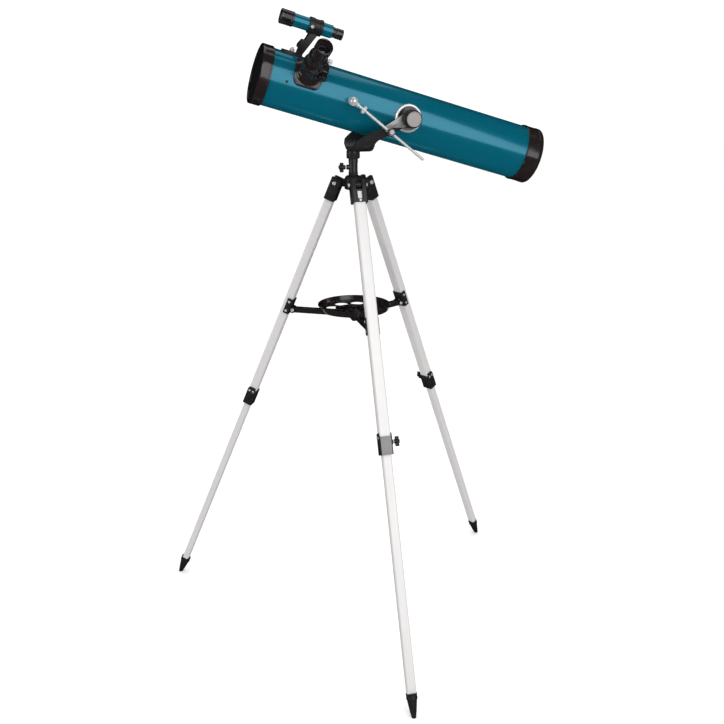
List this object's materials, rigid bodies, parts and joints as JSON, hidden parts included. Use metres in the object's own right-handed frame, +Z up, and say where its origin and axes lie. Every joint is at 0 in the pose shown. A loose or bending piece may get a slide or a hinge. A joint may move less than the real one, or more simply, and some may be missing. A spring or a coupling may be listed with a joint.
{
  "type": "newtonian reflector telescope",
  "caption": "Reflector telescope: open tube with side focuser and finder, held in a fork with a slow-motion rod, on a folding stand with telescopic legs and an accessory tray.",
  "frame": {"origin": "floor level at the middle of the footprint of the stand and tube", "axes": "+Z up, the tube points towards -X, leg 1 towards -Y"},
  "size_m": [0.8758, 0.7457, 1.4148],
  "materials": {
    "teal_paint": "gloss metallic paint",
    "cap_plastic": "semi-gloss",
    "black_plastic": "satin",
    "black_metal": "matt black paint",
    "fork_casting": "satin black paint, worn on the arms",
    "chrome": "polished",
    "mirror_glass": "aluminised",
    "lens_glass": "clear",
    "leg_aluminium": "satin anodised"
  },
  "bodies": {
    "stand": {"hub": "black_plastic", "hinge_bolts": "chrome"},
    "leg_1": {"leg_fittings_1": "black_plastic", "upper_leg_1": "leg_aluminium", "clamp_1": "black_plastic"},
    "leg_extension_1": {"lower_leg_1": "leg_aluminium", "foot_1": "black_plastic"},
    "leg_lock_1": {"clamp_knob_1": "black_plastic"},
    "arm_1": {"spreader_arm_1": "black_plastic"},
    "leg_2": {"leg_fittings_2": "black_plastic", "upper_leg_2": "leg_aluminium", "clamp_2": "black_plastic"},
    "leg_extension_2": {"lower_leg_2": "leg_aluminium", "foot_2": "black_plastic"},
    "leg_lock_2": {"clamp_knob_2": "black_plastic"},
    "arm_2": {"spreader_arm_2": "black_plastic"},
    "leg_3": {"leg_fittings_3": "black_plastic", "upper_leg_3": "leg_aluminium", "clamp_3": "black_plastic"},
    "leg_extension_3": {"lower_leg_3": "leg_aluminium", "foot_3": "black_plastic"},
    "leg_lock_3": {"clamp_knob_3": "black_plastic"},
    "arm_3": {"spreader_arm_3": "black_plastic"},
    "spreader": {"spreader_plate": "black_plastic", "tray": "black_plastic"},
    "tray_knob": {"tray_screw": "chrome"},
    "fork": {"yoke": "fork_casting"},
    "azimuth_lock": {"azimuth_knob": "black_plastic"},
    "tube": {"front_cap": "cap_plastic", "optical_tube": "teal_paint", "rear_cap": "cap_plastic", "mirror_cell": "black_metal", "primary_mirror": "mirror_glass", "collimation_screws": "chrome", "secondary_mirror": "mirror_glass", "secondary_holder": "black_metal", "spider": "black_metal", "tube_screws": "chrome", "focuser_base": "black_plastic", "finder_bracket": "black_plastic", "finder_tube": "teal_paint", "finder_objective_cell": "black_plastic", "finder_lens": "lens_glass", "finder_nuts": "chrome", "trunnion_plates": "chrome", "rod_anchor": "black_plastic"},
    "near_knob": {"altitude_knob_near": "black_plastic"},
    "far_knob": {"altitude_knob_far": "black_plastic"},
    "swivel": {"rod_block": "black_plastic"},
    "swivel_screw": {"rod_block_screw": "chrome"},
    "control_rod": {"rod": "chrome"},
    "rod_collar": {"rod_nut": "chrome"},
    "focus_tube": {"drawtube": "black_plastic"},
    "pinion": {"pinion_shaft": "chrome", "focus_knobs": "black_plastic"},
    "ocular": {"eyepiece": "black_plastic", "eyepiece_lens": "lens_glass"},
    "eyepiece_lock": {"eyepiece_clamp_screw": "chrome"},
    "finder_ocular": {"finder_eyepiece": "black_plastic"}
  },
  "joints": [
    {"name": "fold", "type": "hinge", "parent": "stand", "child": "leg_1", "pos_m": [0, 0.08417, 1.05], "axis": [1, 0, 0], "range_deg": [0, 6.3]},
    {"name": "extension_1", "type": "slide", "parent": "leg_1", "child": "leg_extension_1", "axis": [0, 0.3955, 0.9184], "range_m": [0, 0.42]},
    {"name": "leg_lock_1_turn", "type": "hinge", "parent": "leg_1", "child": "leg_lock_1", "pos_m": [0, -0.1401, 0.52924], "axis": [1, 0, 0], "continuous": true},
    {"name": "arm_1_swing", "type": "hinge", "parent": "leg_1", "child": "arm_1", "pos_m": [0, -0.02633, 0.74918], "axis": [1, 0, 0], "range_deg": [0, 39.99]},
    {"name": "fold_2", "type": "hinge", "parent": "stand", "child": "leg_2", "pos_m": [0.03334, 0.14192, 1.05], "axis": [-0.5, 0.866, 0], "range_deg": [0, 6.3]},
    {"name": "extension_2", "type": "slide", "parent": "leg_2", "child": "leg_extension_2", "axis": [-0.3426, -0.1978, 0.9184], "range_m": [0, 0.42]},
    {"name": "leg_lock_2_turn", "type": "hinge", "parent": "leg_2", "child": "leg_lock_2", "pos_m": [0.22757, 0.25406, 0.52924], "axis": [-0.5, 0.866, 0], "continuous": true},
    {"name": "arm_2_swing", "type": "hinge", "parent": "leg_2", "child": "arm_2", "pos_m": [0.12904, 0.19718, 0.74918], "axis": [-0.5, 0.866, 0], "range_deg": [0, 39.99]},
    {"name": "fold_3", "type": "hinge", "parent": "stand", "child": "leg_3", "pos_m": [-0.03334, 0.14192, 1.05], "axis": [-0.5, -0.866, 0], "range_deg": [0, 6.3]},
    {"name": "extension_3", "type": "slide", "parent": "leg_3", "child": "leg_extension_3", "axis": [0.3426, -0.1978, 0.9184], "range_m": [0, 0.42]},
    {"name": "leg_lock_3_turn", "type": "hinge", "parent": "leg_3", "child": "leg_lock_3", "pos_m": [-0.22757, 0.25406, 0.52924], "axis": [-0.5, -0.866, 0], "continuous": true},
    {"name": "arm_3_swing", "type": "hinge", "parent": "leg_3", "child": "arm_3", "pos_m": [-0.12904, 0.19718, 0.74918], "axis": [-0.5, -0.866, 0], "range_deg": [0, 39.99]},
    {"name": "spreader_rise", "type": "slide", "parent": "stand", "child": "spreader", "axis": [0, 0, 1], "range_m": [0, 0.06853]},
    {"name": "tray_knob_turn", "type": "hinge", "parent": "spreader", "child": "tray_knob", "pos_m": [0, 0.12268, 0.76723], "axis": [0, 0, 1], "continuous": true},
    {"name": "azimuth", "type": "hinge", "parent": "stand", "child": "fork", "pos_m": [0, 0.12268, 1.086], "axis": [0, 0, 1], "continuous": true},
    {"name": "azimuth_lock_turn", "type": "hinge", "parent": "fork", "child": "azimuth_lock", "pos_m": [-0.02, 0.12268, 1.085], "axis": [1, 0, 0], "continuous": true},
    {"name": "altitude", "type": "hinge", "parent": "fork", "child": "tube", "pos_m": [0.108, 0.12268, 1.1915], "axis": [0, 1, 0], "range_deg": [-16.5, 43]},
    {"name": "near_knob_turn", "type": "hinge", "parent": "tube", "child": "near_knob", "pos_m": [0.108, 0.03268, 1.1915], "axis": [0, -1, 0], "continuous": true},
    {"name": "far_knob_turn", "type": "hinge", "parent": "tube", "child": "far_knob", "pos_m": [0.108, 0.21268, 1.1915], "axis": [0, 1, 0], "continuous": true},
    {"name": "swivel_turn", "type": "hinge", "parent": "fork", "child": "swivel", "pos_m": [0.06227, 0.04267, 1.16428], "axis": [0, 1, 0], "range_deg": [-17.82, 45.65]},
    {"name": "swivel_screw_turn", "type": "hinge", "parent": "swivel", "child": "swivel_screw", "pos_m": [0.06227, 0.03068, 1.16428], "axis": [0, -1, 0], "continuous": true},
    {"name": "rod_slide", "type": "slide", "parent": "swivel", "child": "control_rod", "axis": [-0.7793, 0, 0.6266], "range_m": [-0.0157, 0.0393]},
    {"name": "rod_collar_turn", "type": "hinge", "parent": "control_rod", "child": "rod_collar", "pos_m": [0.00343, 0.04267, 1.21159], "axis": [0.7793, 0, -0.6266], "continuous": true},
    {"name": "focus", "type": "slide", "parent": "tube", "child": "focus_tube", "axis": [0.142, -0.866, 0.4794], "range_m": [-0.006, 0.02]},
    {"name": "focus_knobs_turn", "type": "hinge", "parent": "tube", "child": "pinion", "pos_m": [-0.07999, 0.04993, 1.29099], "axis": [0.246, 0.5, 0.8304], "range_deg": [-80, 245]},
    {"name": "eyepiece_slide", "type": "slide", "parent": "focus_tube", "child": "ocular", "axis": [0.142, -0.866, 0.4794], "range_m": [0, 0.045]},
    {"name": "eyepiece_lock_turn", "type": "hinge", "parent": "focus_tube", "child": "eyepiece_lock", "pos_m": [-0.07528, 0.01832, 1.30863], "axis": [0.9588, 0, -0.284], "continuous": true},
    {"name": "finder_focus", "type": "hinge", "parent": "tube", "child": "finder_ocular", "pos_m": [-0.02934, 0.1008, 1.3616], "axis": [0.9588, 0, -0.284], "continuous": true}
  ],
  "couplings": [
    {"joint": "fold_2", "follows": "fold", "ratio": 1},
    {"joint": "fold_3", "follows": "fold", "ratio": 1},
    {"joint": "arm_1_swing", "follows": "fold", "ratio": 6.3473},
    {"joint": "arm_2_swing", "follows": "fold", "ratio": 6.3473},
    {"joint": "arm_3_swing", "follows": "fold", "ratio": 6.3473},
    {"joint": "spreader_rise", "follows": "fold", "m_per_rad": 0.6228},
    {"joint": "swivel_turn", "follows": "altitude", "ratio": 1.05},
    {"joint": "rod_slide", "follows": "altitude", "m_per_rad": 0.051},
    {"joint": "focus_knobs_turn", "follows": "focus", "rad_per_m": 208.33}
  ]
}
